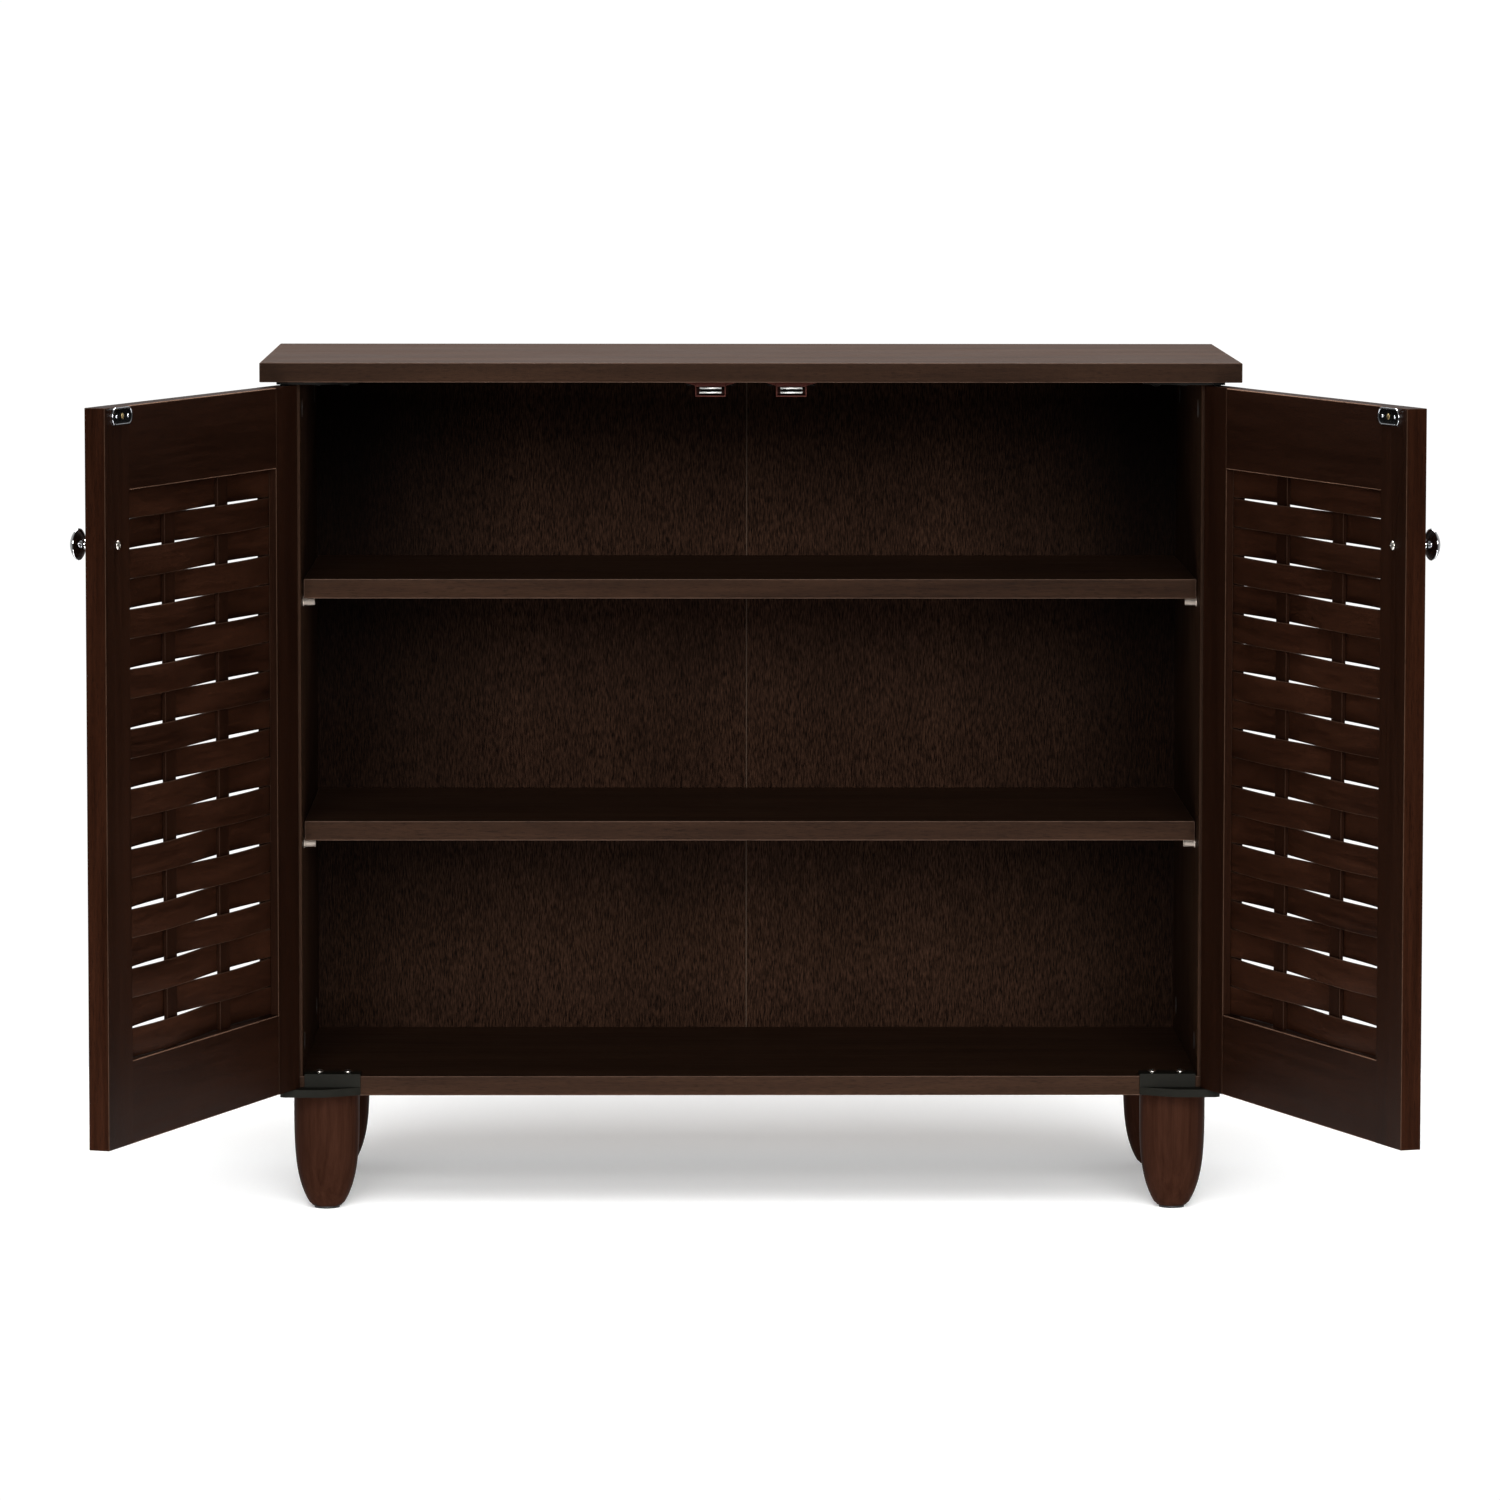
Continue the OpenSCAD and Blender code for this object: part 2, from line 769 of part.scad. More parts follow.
module bottom_rail() {
    rail(door_z, door_z + rail_w - post_tenon);
}

module lattice_posts() {
    color(espresso) for (u = post_us())
        box_at([u - post_w / 2, door_mid - post_t / 2, open_z - post_tenon + 0.2],
               [post_w, post_t, open_h + 2 * post_tenon - 0.4]);
}

// Middle line of a slat: one full wave across the opening, tongues in both stile grooves
function slat_swing(s) = weave_depth * sin(360 * s / open_w);

module slat(row, side) {
    s0 = -slat_tongue;
    ds = (open_w + 2 * slat_tongue) / slat_steps;
    path = [for (k = [0 : slat_steps]) let (s = s0 + k * ds) [s, side * slat_swing(s)]];
    outline = concat(
        [for (p = path) [p[0], p[1] + slat_t / 2]],
        [for (k = [slat_steps : -1 : 0]) [path[k][0], path[k][1] - slat_t / 2]]
    );
    z = open_z + open_h - row * slat_pitch + slat_gap / 2;
    translate([stile_w, door_mid, z]) linear_extrude(height = slat_h) polygon(outline);
}

// Odd slats, counted from the top, pass outside the post nearest the hinge
module odd_slats() {
    color(espresso) for (row = [1 : 2 : slat_rows]) slat(row, -1);
}

module even_slats() {
    color(espresso) for (row = [2 : 2 : slat_rows]) slat(row, 1);
}

module rail_dowels() {
    color(beech) for (u = [stile_w, door_w - stile_w], z = rail_dowel_zs())
        rod_x([u - rail_dowel_l / 2 + 0.2, door_mid, z], rail_dowel_r, rail_dowel_l - 0.4);
}

module pivot_bushes() {
    color(glide_black) for (z = [door_z, door_top_z - bush_h + 0.1])
        translate([pivot_inset, door_mid, z]) difference() {
            cylinder(r = bush_r, h = bush_h - 0.1);
            translate([0, 0, -eps]) cylinder(r = pivot_r + fit, h = bush_h + 2 * eps);
        }
}

// Mushroom knob on the outer face, turned from one piece
module knob() {
    r = knob_d / 2;
    head_h = 8.5;
    rim_h = 1.6;
    neck_r = 4;
    dome_r = (r * r + (head_h - rim_h) * (head_h - rim_h)) / (2 * (head_h - rim_h));
    color(chrome_bright) translate([knob_u, 0, knob_z]) rotate([90, 0, 0]) difference() {
        union() {
            cylinder(r = 7, h = 1.8);
            rotate_extrude() polygon([
                [0, 1], [6, 1.8], [neck_r + 0.6, 3.2], [neck_r, 5.5], [neck_r, knob_h - head_h - 4],
                [neck_r + 1.2, knob_h - head_h - 2], [r * 0.75, knob_h - head_h],
                [0, knob_h - head_h]
            ]);
            translate([0, 0, knob_h - head_h]) cylinder(r = r, h = rim_h);
            translate([0, 0, knob_h - dome_r]) rotate_extrude() intersection() {
                circle(r = dome_r, $fn = 128);
                translate([0, dome_r - head_h + rim_h - 0.02]) square([r, head_h]);
            }
        }
        translate([0, 0, -eps]) cylinder(r = knob_screw_r + fit, h = knob_bore + eps);
    }
}

module knob_screw() {
    color(nickel) translate([knob_u, door_t, knob_z]) rotate([-90, 0, 0])
        pan_screw(3.6, 2.2, knob_screw_r, door_t + knob_bore - 1);
}

// Slot-ended steel plate that the magnet holds
module strike_plate() {
    half = strike_w / 2 - strike_h / 2;
    color(dark_steel) translate([strike_u, door_t, strike_z]) rotate([-90, 0, 0]) difference() {
        union() {
            translate([-half, -strike_h / 2, 0]) cube([2 * half, strike_h, strike_t]);
            for (s = [-1, 1]) {
                translate([s * half, 0, 0]) cylinder(r = strike_h / 2, h = strike_t);
                translate([s * (half - 1), 1.5, 0]) cylinder(r = 1.2, h = strike_t + 0.5);
            }
        }
        translate([0, 0, -eps]) cylinder(r = strike_screw_r + fit, h = strike_t + 2 * eps);
    }
}

module strike_screw() {
    color(brass_yellow) translate([strike_u, door_t + strike_t, strike_z]) rotate([-90, 0, 0])
        pan_screw(3.2, strike_head_h, strike_screw_r, strike_screw_l);
}

// ---------------------------------------------------------------- the two doors

module left_hinge_stile() { left_door() hinge_stile(); }
module left_free_stile() { left_door() free_stile(); }
module left_top_rail() { left_door() top_rail(); }
module left_bottom_rail() { left_door() bottom_rail(); }
module left_lattice_posts() { left_door() lattice_posts(); }
module left_odd_slats() { left_door() odd_slats(); }
module left_even_slats() { left_door() even_slats(); }
module left_rail_dowels() { left_door() rail_dowels(); }
module left_pivot_bushes() { left_door() pivot_bushes(); }
module left_knob() { left_door() knob(); }
module left_knob_screw() { left_door() knob_screw(); }
module left_strike_plate() { left_door() strike_plate(); }
module left_strike_screw() { left_door() strike_screw(); }

module right_hinge_stile() { right_door() hinge_stile(); }
module right_free_stile() { right_door() free_stile(); }
module right_top_rail() { right_door() top_rail(); }
module right_bottom_rail() { right_door() bottom_rail(); }
module right_lattice_posts() { right_door() lattice_posts(); }
module right_odd_slats() { right_door() odd_slats(); }
module right_even_slats() { right_door() even_slats(); }
module right_rail_dowels() { right_door() rail_dowels(); }
module right_pivot_bushes() { right_door() pivot_bushes(); }
module right_knob() { right_door() knob(); }
module right_knob_screw() { right_door() knob_screw(); }
module right_strike_plate() { right_door() strike_plate(); }
module right_strike_screw() { right_door() strike_screw(); }

// ---------------------------------------------------------------- nodes

top_panel();
left_side_panel();
right_side_panel();
bottom_panel();
left_back_panel();
right_back_panel();
back_joint_strip();
back_nails();
front_left_leg();
front_right_leg();
rear_left_leg();
rear_right_leg();
leg_bolts();
leg_inserts();
leg_glides();
cam_locks();
cam_bolts();
panel_dowels();
left_catch_housing();
right_catch_housing();
catch_magnets();
catch_pole_plates();
catch_screws();
upper_shelf_pins();
lower_shelf_pins();
left_top_bracket();
right_top_bracket();
left_bottom_bracket();
right_bottom_bracket();
pivot_pins();
bracket_screws();
upper_shelf();
lower_shelf();
left_hinge_stile();
left_free_stile();
left_top_rail();
left_bottom_rail();
left_lattice_posts();
left_odd_slats();
left_even_slats();
left_rail_dowels();
left_pivot_bushes();
left_knob();
left_knob_screw();
left_strike_plate();
left_strike_screw();
right_hinge_stile();
right_free_stile();
right_top_rail();
right_bottom_rail();
right_lattice_posts();
right_odd_slats();
right_even_slats();
right_rail_dowels();
right_pivot_bushes();
right_knob();
right_knob_screw();
right_strike_plate();
right_strike_screw();
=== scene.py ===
"""Looks of the two-door shoe cabinet: materials, rounded arrises and finer pieces round the CAD frame.

Lengths are metres. The front faces -Y. Door pieces are made in door coordinates: x from the
hinge edge to the free edge, y from the outer face to the inner face, z up as in the world.
"""

import json
import math
import random

import bmesh
import bpy
from mathutils import Matrix, Vector


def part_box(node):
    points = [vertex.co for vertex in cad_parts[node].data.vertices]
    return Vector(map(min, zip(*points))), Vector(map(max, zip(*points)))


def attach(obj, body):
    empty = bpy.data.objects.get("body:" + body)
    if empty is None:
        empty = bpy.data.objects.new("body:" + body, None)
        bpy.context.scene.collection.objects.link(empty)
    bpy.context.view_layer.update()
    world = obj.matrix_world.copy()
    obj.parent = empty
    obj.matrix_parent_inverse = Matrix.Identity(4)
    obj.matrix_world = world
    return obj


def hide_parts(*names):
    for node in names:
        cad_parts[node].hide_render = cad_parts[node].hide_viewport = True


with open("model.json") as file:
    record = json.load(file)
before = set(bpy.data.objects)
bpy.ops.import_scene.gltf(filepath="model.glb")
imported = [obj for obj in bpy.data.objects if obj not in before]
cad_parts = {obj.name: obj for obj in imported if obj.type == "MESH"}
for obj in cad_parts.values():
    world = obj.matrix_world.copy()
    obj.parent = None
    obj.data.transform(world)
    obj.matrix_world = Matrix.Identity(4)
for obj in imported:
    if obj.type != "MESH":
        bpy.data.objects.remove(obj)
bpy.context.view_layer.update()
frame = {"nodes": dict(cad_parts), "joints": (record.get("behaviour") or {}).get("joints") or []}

MM = 0.001
SIDES = ("left", "right")
NODES = frame["nodes"]
JOINTS = {joint["name"]: joint for joint in frame["joints"]}


# ---------------------------------------------------------------- node trees


class Graph:
    """A material and short calls that build its node tree."""

    def __init__(self, name, **shader):
        self.material = bpy.data.materials.new(name)
        self.material.use_nodes = True
        self.tree = self.material.node_tree
        self.shader = self.tree.nodes["Principled BSDF"]
        self.set(**shader)

    def set(self, **inputs):
        for key, value in inputs.items():
            self.feed(self.shader.inputs[key.replace("_", " ")], value)

    def feed(self, socket, value):
        if isinstance(value, bpy.types.NodeSocket):
            self.tree.links.new(value, socket)
        else:
            socket.default_value = value

    def node(self, kind, settings=None, **inputs):
        made = self.tree.nodes.new("ShaderNode" + kind)
        for key, value in (settings or {}).items():
            setattr(made, key, value)
        for key, value in inputs.items():
            self.feed(made.inputs[key.replace("_", " ")], value)
        return made

    def place(self, turn=0.0):
        """Object coordinates, turned about Z so that a door's grain follows the door."""
        coords = self.node("TexCoord").outputs["Object"]
        if not turn:
            return coords
        turned = self.node("VectorRotate", {"rotation_type": "Z_AXIS"}, Vector=coords, Angle=turn)
        return turned.outputs["Vector"]

    def noise(self, coords, cell, detail=3.0, roughness=0.55, distortion=0.0):
        """Noise whose features are about `cell` long, in metres, along each axis."""
        scaled = self.node("Mapping", Vector=coords, Scale=[1 / length for length in cell])
        made = self.node("TexNoise", Vector=scaled.outputs["Vector"], Scale=1.0, Detail=detail,
                         Roughness=roughness, Distortion=distortion)
        return made.outputs["Fac"]

    def ramp(self, value, low, high, out_low=0.0, out_high=1.0):
        """Linear stretch of low..high to out_low..out_high, clamped."""
        made = self.node("MapRange", Value=value, From_Min=low, From_Max=high,
                         To_Min=out_low, To_Max=out_high)
        return made.outputs["Result"]

    def math(self, operation, a, b):
        made = self.node("Math", {"operation": operation})
        self.feed(made.inputs[0], a)
        self.feed(made.inputs[1], b)
        return made.outputs[0]

    def mix(self, factor, a, b, blend="MIX"):
        made = self.node("Mix", {"data_type": "RGBA", "blend_type": blend})
        for socket, value in zip((made.inputs[0], made.inputs[6], made.inputs[7]), (factor, a, b)):
            self.feed(socket, value)
        return made.outputs[2]

    def bump(self, height, distance, strength=1.0, under=None):
        made = self.node("Bump", Height=height, Distance=distance, Strength=strength)
        if under is not None:
            self.feed(made.inputs["Normal"], under)
        return made.outputs["Normal"]


def rgb(red, green, blue):
    """Colour socket value from linear channel values."""
    return (red, green, blue, 1.0)


# ---------------------------------------------------------------- materials

def grain_cell(axis, across, along):
    """Noise cell that is long along the grain and short across it."""
    return [along if name == axis else across for name in "xyz"]


def wood(name, dark, light, axis, turn=0.0, emboss=0.5, roughness=0.42, figure=1.0, gloss=0.022):
    """Stained wood or wood-grain foil with its grain along one axis of the turned coordinates."""
    g = Graph(name, IOR=1.46, Specular_IOR_Level=gloss)
    coords = g.place(turn)
    broad = g.noise(coords, grain_cell(axis, 30 * MM, 420 * MM), detail=2, distortion=0.6)
    streak = g.noise(coords, grain_cell(axis, 4 * MM, 110 * MM), detail=4, roughness=0.65)
    fine = g.noise(coords, grain_cell(axis, 0.9 * MM, 16 * MM), detail=3, roughness=0.6)
    pores = g.noise(coords, grain_cell(axis, 0.45 * MM, 7 * MM), detail=1)
    blotch = g.noise(coords, (90 * MM, 90 * MM, 90 * MM), detail=2)

    tone = g.math("MULTIPLY", g.ramp(broad, 0.3, 0.7), 0.45 * figure)
    tone = g.math("ADD", tone, g.math("MULTIPLY", g.ramp(streak, 0.32, 0.68), 0.35 * figure))
    tone = g.math("ADD", tone, g.math("MULTIPLY", g.ramp(fine, 0.3, 0.7), 0.2))
    colour = g.mix(tone, dark, light)
    pore_dark = g.ramp(pores, 0.56, 0.68, 1.0, 0.55)
    pore_grey = g.node("CombineColor", Red=pore_dark, Green=pore_dark, Blue=pore_dark)
    colour = g.mix(1.0, colour, pore_grey.outputs["Color"], "MULTIPLY")

    wear = g.math("ADD", g.ramp(streak, 0.3, 0.7, -0.05, 0.05), g.ramp(blotch, 0.3, 0.7, -0.04, 0.04))
    relief = g.math("SUBTRACT", g.math("MULTIPLY", fine, 0.6), g.ramp(pores, 0.56, 0.7))
    g.set(Base_Color=colour, Roughness=g.math("ADD", wear, roughness),
          Normal=g.bump(relief, 0.06 * MM, emboss))
    return g.material


def back_board(name):
    """Thin back: embossed vertical-grain foil inside, plain brown backing behind.

    The foil is darkened towards its outer edges, more so higher up: painted shade of the deep open
    cabinet.
    """
    g = Graph(name, IOR=1.46, Specular_IOR_Level=0.01)
    coords = g.place()
    broad = g.noise(coords, (70 * MM, 70 * MM, 600 * MM), detail=2, distortion=0.4)
    dash = g.noise(coords, (0.75 * MM, 0.75 * MM, 6.5 * MM), detail=3, roughness=0.6)
    hair = g.noise(coords, (0.6 * MM, 0.6 * MM, 5 * MM), detail=2)
    # The light dashes are partly the foil's embossed grain print and partly painted glints off its
    # embossing.
    lift = g.math("MULTIPLY", g.ramp(dash, 0.36, 0.68), g.ramp(broad, 0.25, 0.75, 0.6, 1.0))
    foil = g.mix(lift, rgb(0.0042, 0.0019, 0.0011), rgb(0.050, 0.0235, 0.0138))
    hair_dark = g.ramp(hair, 0.5, 0.66, 1.0, 0.6)
    hair_grey = g.node("CombineColor", Red=hair_dark, Green=hair_dark, Blue=hair_dark)
    foil = g.mix(1.0, foil, hair_grey.outputs["Color"], "MULTIPLY")
    # Painted shade: darker towards the sides of the back, more so higher up.
    place = g.node("SeparateXYZ", Vector=coords).outputs
    from_middle = g.math("ABSOLUTE", place["X"], 0.0)
    upper = g.ramp(place["Z"], 0.15, 0.6, 0.45, 1.0)
    painted_shade = g.math("MULTIPLY", g.ramp(from_middle, 0.17, 0.33, 0.0, 0.92), upper)
    foil = g.mix(painted_shade, foil, rgb(0.0012, 0.0005, 0.0003))

    fibre = g.noise(coords, (1.6 * MM, 1.6 * MM, 1.6 * MM), detail=5, roughness=0.75)
    backing = g.mix(g.ramp(fibre, 0.35, 0.65), rgb(0.085, 0.052, 0.033), rgb(0.16, 0.105, 0.068))
    facing = g.node("SeparateXYZ", Vector=g.node("TexCoord").outputs["Normal"]).outputs["Y"]
    behind = g.math("GREATER_THAN", facing, 0.5)
    colour = g.mix(behind, foil, backing)
    relief = g.math("ADD", g.math("MULTIPLY", dash, 1.2), g.math("MULTIPLY", hair, -0.5))
    rough = g.ramp(dash, 0.3, 0.7, 0.5, 0.36)
    rough = g.math("MAXIMUM", rough, g.math("MULTIPLY", behind, 0.78))
    g.set(Base_Color=colour, Roughness=rough, Normal=g.bump(relief, 0.2 * MM, 0.9))
    return g.material


def metal(name, tint, roughness, blotch=0.05, bump=0.2, metallic=1.0):
    """Bare or plated metal with fine rubbing marks."""
    g = Graph(name, Metallic=metallic, IOR=1.5)
    coords = g.place()
    marks = g.noise(coords, (0.35 * MM, 0.35 * MM, 0.35 * MM), detail=3, roughness=0.6)
    stain = g.noise(coords, (6 * MM, 6 * MM, 6 * MM), detail=3)
    shade = [channel * 0.8 for channel in tint[:3]] + [1.0]
    g.set(Base_Color=g.mix(g.ramp(stain, 0.35, 0.65), shade, tint),
          Roughness=g.math("ADD", g.ramp(marks, 0.3, 0.7, -blotch, blotch), roughness),
          Normal=g.bump(marks, 0.01 * MM, bump))
    return g.material


def coated_metal(name, tint, roughness):
    """Sprayed or dipped dark coating with a slight orange peel."""
    g = Graph(name, Metallic=0.0, IOR=1.5, Specular_IOR_Level=0.035)
    coords = g.place()
    peel = g.noise(coords, (0.8 * MM, 0.8 * MM, 0.8 * MM), detail=3)
    stain = g.noise(coords, (9 * MM, 9 * MM, 9 * MM), detail=4, roughness=0.65)
    shade = [channel * 0.72 for channel in tint[:3]] + [1.0]
    g.set(Base_Color=g.mix(g.ramp(stain, 0.3, 0.7), shade, tint),
          Roughness=g.math("ADD", g.ramp(stain, 0.3, 0.7, -0.06, 0.08), roughness),
          Normal=g.bump(peel, 0.02 * MM, 0.5))
    return g.material


def plastic(name, tint, roughness, flow=0.15, gloss=0.5):
    """Moulded plastic with faint flow lines and a matt speckle."""
    g = Graph(name, IOR=1.49, Specular_IOR_Level=gloss)
    coords = g.place()
    speck = g.noise(coords, (0.4 * MM, 0.4 * MM, 0.4 * MM), detail=2)
    lines = g.noise(coords, (14 * MM, 3 * MM, 3 * MM), detail=2, distortion=0.8)
    shade = [channel * (1 - flow) for channel in tint[:3]] + [1.0]
    g.set(Base_Color=g.mix(g.ramp(lines, 0.35, 0.65), shade, tint),
          Roughness=g.math("ADD", g.ramp(speck, 0.3, 0.7, -0.04, 0.06), roughness),
          Normal=g.bump(speck, 0.015 * MM, 0.5))
    return g.material


FOIL_DARK = rgb(0.0124, 0.0058, 0.0033)
FOIL_LIGHT = rgb(0.034, 0.0165, 0.0093)
DOOR_DARK = rgb(0.0050, 0.0019, 0.0010)
DOOR_LIGHT = rgb(0.0160, 0.0058, 0.0030)
EDGE_DARK = rgb(0.0055, 0.0017, 0.0008)
EDGE_LIGHT = rgb(0.0270, 0.0085, 0.0038)
# The arris tones, far lighter than the faces beside them, are painted highlight lines along rounded
# edges.
BOARD_ARRIS_DARK = rgb(0.042, 0.024, 0.0165)
BOARD_ARRIS_LIGHT = rgb(0.090, 0.053, 0.0380)
ARRIS_DARK = rgb(0.026, 0.0135, 0.0085)
ARRIS_LIGHT = rgb(0.060, 0.0320, 0.0200)
SLAT_DARK = rgb(0.0042, 0.0015, 0.0008)
SLAT_LIGHT = rgb(0.0250, 0.0088, 0.0044)
SLAT_ARRIS_DARK = rgb(0.014, 0.0068, 0.0044)
SLAT_ARRIS_LIGHT = rgb(0.036, 0.0175, 0.0105)
RAIL_ARRIS_DARK = rgb(0.070, 0.0380, 0.0250)
RAIL_ARRIS_LIGHT = rgb(0.150, 0.0850, 0.0560)
LEG_DARK = rgb(0.0140, 0.0051, 0.0029)
LEG_LIGHT = rgb(0.033, 0.0125, 0.0073)


# ---------------------------------------------------------------- CAD nodes


def sharp_long_edges(mesh, shortest, sharpest):
    """Keys of the mesh edges that are long and lie between two faces at a clear angle."""
    def key(a, b):
        ends = [tuple(round(c, 6) for c in mesh.vertices[v].co) for v in (a, b)]
        return tuple(sorted(ends))

    faces_at = {}
    for polygon in mesh.polygons:
        for a, b in polygon.edge_keys:
            faces_at.setdefault(key(a, b), []).append(polygon.normal.copy())
    chosen = []
    for edge in mesh.edges:
        a, b = edge.vertices
        if (mesh.vertices[a].co - mesh.vertices[b].co).length < shortest:
            continue
        normals = faces_at.get(key(a, b), [])
        if len(normals) > 1 and normals[0].angle(normals[-1], 0.0) > sharpest:
            chosen.append(edge.index)
    return chosen


def dress(node, material, arris=None, radius=0.5 * MM, shortest=12 * MM, segments=3, where=None):
    """Gives a CAD node its material and rounds its long arrises, or only those `where` accepts."""
    shown = NODES[node]
    mesh = shown.data
    mesh.materials.clear()
    mesh.materials.append(material)
    mesh.materials.append(arris or material)
    mesh.polygons.foreach_set("use_smooth", [True] * len(mesh.polygons))
    mesh.polygons.foreach_set("material_index", [0] * len(mesh.polygons))
    mesh.set_sharp_from_angle(angle=math.radians(32))
    weld = shown.modifiers.new("Weld", "WELD")
    weld.merge_threshold = 1e-6
    if not radius:
        return shown
    bevel = shown.modifiers.new("Bevel", "BEVEL")
    bevel.width = radius
    bevel.segments = segments
    bevel.use_clamp_overlap = False
    bevel.material = 1
    weights = mesh.attributes.new("bevel_weight_edge", "FLOAT", "EDGE")
    for index in sharp_long_edges(mesh, shortest, math.radians(40)):
        middle = sum((mesh.vertices[v].co for v in mesh.edges[index].vertices), Vector()) / 2
        weights.data[index].value = 1.0 if where is None or where(middle) else 0.0
    bevel.limit_method = "WEIGHT"
    level = shown.modifiers.new("Normals", "WEIGHTED_NORMAL")
    level.keep_sharp = True
    level.weight = 100
    return shown


# ---------------------------------------------------------------- mesh pieces


def add_piece(name, mesh, body, slot, *materials, replaces=(), crease=32):
    """Makes a smooth-shaded piece that rides on a body and stands for the named CAD nodes."""
    mesh.polygons.foreach_set("use_smooth", [True] * len(mesh.polygons))
    mesh.set_sharp_from_angle(angle=math.radians(crease))
    for material in materials:
        mesh.materials.append(material)
    piece = bpy.data.objects.new(name, mesh)
    bpy.context.scene.collection.objects.link(piece)
    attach(piece, body)
    if replaces:
        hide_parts(*replaces)
    return piece


def to_mesh(name, bm, matrix=None):
    """Mesh from a bmesh, moved by a matrix, with its faces outward even if the matrix mirrors."""
    if matrix is not None:
        bm.transform(matrix)
    bmesh.ops.recalc_face_normals(bm, faces=bm.faces)
    mesh = bpy.data.meshes.new(name)
    bm.to_mesh(mesh)
    bm.free()
    return mesh


def lathe(bm, profile, steps=64, matrix=None):
    """Turns (radius, height) points about Z into a closed solid; end points lie on the axis."""
    move = matrix or Matrix.Identity(4)
    rings = []
    for radius, height in profile:
        if radius < 1e-9:
            rings.append([bm.verts.new(move @ Vector((0, 0, height)))])
            continue
        angles = [2 * math.pi * k / steps for k in range(steps)]
        rings.append([bm.verts.new(move @ Vector((radius * math.cos(a), radius * math.sin(a), height)))
                      for a in angles])
    for low, high in zip(rings, rings[1:]):
        for k in range(steps):
            corners = [low[k % len(low)], low[(k + 1) % len(low)],
                       high[(k + 1) % len(high)], high[k % len(high)]]
            bm.faces.new(list(dict.fromkeys(corners)))


def arc(centre, radius, start, end, steps):
    """Points on an arc in a profile plane, angles in degrees."""
    angles = [math.radians(start + (end - start) * k / steps) for k in range(steps + 1)]
    return [(centre[0] + radius * math.cos(a), centre[1] + radius * math.sin(a)) for a in angles]


def loft(bm, rings):
    """Skins closed rings of equal length and caps both ends."""
    made = [[bm.verts.new(point) for point in ring] for ring in rings]
    count = len(made[0])
    for low, high in zip(made, made[1:]):
        for k in range(count):
            bm.faces.new([low[k], low[(k + 1) % count], high[(k + 1) % count], high[k]])
    bm.faces.new(list(reversed(made[0])))
    bm.faces.new(made[-1])


def rounded_box(width, height, radius, steps=3):
    """Outline of a rounded rectangle about the origin."""
    x, y = width / 2 - radius, height / 2 - radius
    points = []
    for centre, start in (((x, y), 0), ((-x, y), 90), ((-x, -y), 180), ((x, -y), 270)):
        points += arc(centre, radius, start, start + 90, steps)
    return points


# ---------------------------------------------------------------- places, read from the frame


class Door:
    """One door: its matrix from door coordinates to the open pose, and boxes in door coordinates."""

    def __init__(self, side):
        self.side = side
        self.body = side + "_door"
        joint = JOINTS[side + "_door_hinge"]
        self.sign = joint["axis"][2]
        self.turn = self.sign * math.radians(joint["range_deg"][1])
        pivot = Matrix.Translation(joint["pos_m"])
        closing = pivot @ Matrix.Rotation(self.turn, 4, "Z") @ pivot.inverted()
        stile = [closing @ v.co for v in NODES[side + "_hinge_stile"].data.vertices]
        hinge_edge = min(self.sign * p.x for p in stile) * self.sign
        outer_face = min(p.y for p in stile)
        corner = Matrix.Translation((hinge_edge, outer_face, 0))
        self.matrix = closing.inverted() @ corner @ Matrix.Diagonal((self.sign, 1, 1, 1))

    def box(self, node):
        """Lowest and highest corner of a CAD node in door coordinates."""
        inverse = self.matrix.inverted()
        points = [inverse @ v.co for v in NODES[f"{self.side}_{node}"].data.vertices]
        low = Vector([min(p[k] for p in points) for k in range(3)])
        high = Vector([max(p[k] for p in points) for k in range(3)])
        return low, high

    def between(self, nearest, farthest=math.inf):
        """Test for points at a distance from the hinge edge between these two."""
        inverse = self.matrix.inverted()
        return lambda point: nearest < (inverse @ point).x < farthest


DOORS = {side: Door(side) for side in SIDES}
ROWS = 19  # slats in one door
CAD_SLAT_GAP = 1 * MM


# ---------------------------------------------------------------- carcass

board_x = wood("espresso_foil_long", FOIL_DARK, FOIL_LIGHT, "x")
board_z = wood("espresso_foil_upright", FOIL_DARK, FOIL_LIGHT, "z")
# Painted highlight: a lighter foil on the rounded board arrises.
board_arris_highlight = wood("espresso_arris_highlight", BOARD_ARRIS_DARK, BOARD_ARRIS_LIGHT, "x", emboss=0.2, roughness=0.36)
back_foil = back_board("back_foil_embossed")
seam = plastic("seam_tape", rgb(0.060, 0.036, 0.023), 0.6, gloss=0.1)
zinc = metal("zinc_plate", rgb(0.50, 0.52, 0.54), 0.34)
nickel = metal("nickel_plate", rgb(0.72, 0.68, 0.62), 0.24)
pin_nickel = metal("satin_nickel", rgb(0.80, 0.69, 0.60), 0.5, metallic=0.75)
pole_steel = metal("pole_steel", rgb(0.88, 0.88, 0.85), 0.45, metallic=0.45)
beech = wood("beech_dowel", rgb(0.42, 0.27, 0.15), rgb(0.62, 0.43, 0.26), "z", roughness=0.6)
# A dark coat made near-black as painted shade, for the catch screws, the top brackets and their screws,
# which sit in shade under the top.
shade_black_coat = coated_metal("near_black_painted_shade", rgb(0.0060, 0.0056, 0.0050), 0.5)
bracket_coat = coated_metal("bracket_coating", rgb(0.0085, 0.0082, 0.0062), 0.45)
black_plastic = plastic("black_plastic", rgb(0.010, 0.010, 0.010), 0.5)
magnet_black = plastic("ferrite", rgb(0.0030, 0.0028, 0.0028), 0.7, gloss=0.02)
catch_plastic = plastic("catch_plastic", rgb(0.060, 0.0170, 0.0125), 0.4, gloss=0.05)

